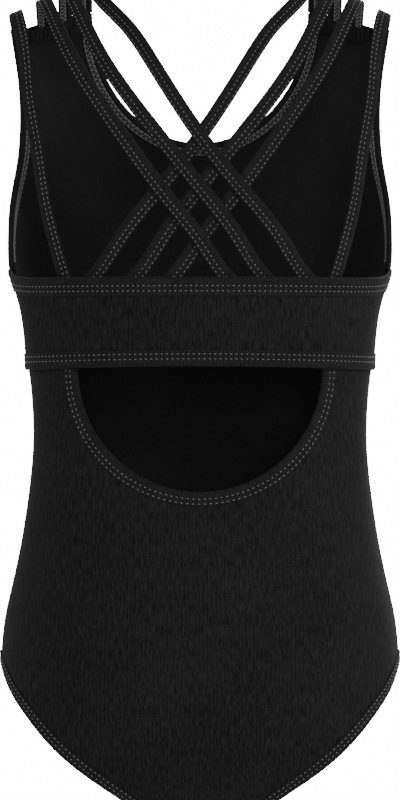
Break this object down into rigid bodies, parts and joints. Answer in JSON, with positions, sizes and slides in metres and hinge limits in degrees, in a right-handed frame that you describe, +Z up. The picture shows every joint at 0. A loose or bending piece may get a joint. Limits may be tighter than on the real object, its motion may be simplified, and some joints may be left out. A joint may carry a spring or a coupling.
{
  "type": "gymnastics leotard",
  "caption": "Girl's sleeveless gymnastics leotard with a scooped front neck, crossed shoulder straps, a back band and a round keyhole below it.",
  "frame": {"origin": "on the line over the tops of the shoulders, midway between them, where the garment hangs", "axes": "+Z up, +X towards the wearer's left, +Y towards the wearer's back"},
  "size_m": [0.2486, 0.1698, 0.5352],
  "materials": {
    "jersey": "matte fine-rib cotton and elastane jersey, black",
    "binding_jersey": "folded black jersey tape, ribs across the tape",
    "lining": "smooth black lining knit",
    "thread": "textured polyester thread, black with a slight shine",
    "overlock_thread": "overlocked polyester thread, black",
    "elastic": "soft knitted elastic, black",
    "label_satin": "blank white woven satin"
  },
  "bodies": {
    "garment": {"armhole_binding_left": "binding_jersey", "armhole_binding_right": "binding_jersey", "armhole_elastic_left": "elastic", "armhole_elastic_right": "elastic", "armhole_stitching_left": "thread", "armhole_stitching_right": "thread", "back_band": "jersey", "back_band_lining": "lining", "back_panel": "jersey", "band_hem": "binding_jersey", "band_hem_elastic": "elastic", "band_hem_stitching": "thread", "band_top_binding": "binding_jersey", "band_top_elastic": "elastic", "band_top_stitching": "thread", "crotch_seam_overlock": "overlock_thread", "front_lining": "lining", "front_panel": "jersey", "front_top_facing_left": "jersey", "front_top_facing_right": "jersey", "gusset_lining": "lining", "keyhole_binding": "binding_jersey", "keyhole_elastic": "elastic", "keyhole_stitching": "thread", "leg_binding_left": "binding_jersey", "leg_binding_right": "binding_jersey", "leg_elastic_left": "elastic", "leg_elastic_right": "elastic", "leg_stitching_left": "thread", "leg_stitching_right": "thread", "neckline_binding": "binding_jersey", "neckline_elastic": "elastic", "neckline_stitching": "thread", "side_seam_overlock_left": "overlock_thread", "side_seam_overlock_right": "overlock_thread", "strap_band_tacks": "thread", "strap_elastics_left": "elastic", "strap_elastics_right": "elastic", "strap_front_tacks": "thread", "strap_left_inner": "binding_jersey", "strap_left_outer": "binding_jersey", "strap_left_second": "binding_jersey", "strap_left_third": "binding_jersey", "strap_right_inner": "binding_jersey", "strap_right_outer": "binding_jersey", "strap_right_second": "binding_jersey", "strap_right_third": "binding_jersey", "strap_stitching_left": "thread", "strap_stitching_right": "thread"},
    "label": {"care_label": "label_satin"}
  },
  "joints": [
    {"name": "care_label_swing", "type": "hinge", "parent": "garment", "child": "label", "pos_m": [0.0996, 0, -0.281], "axis": [0, 0, 1], "range_deg": [0, 146]}
  ]
}
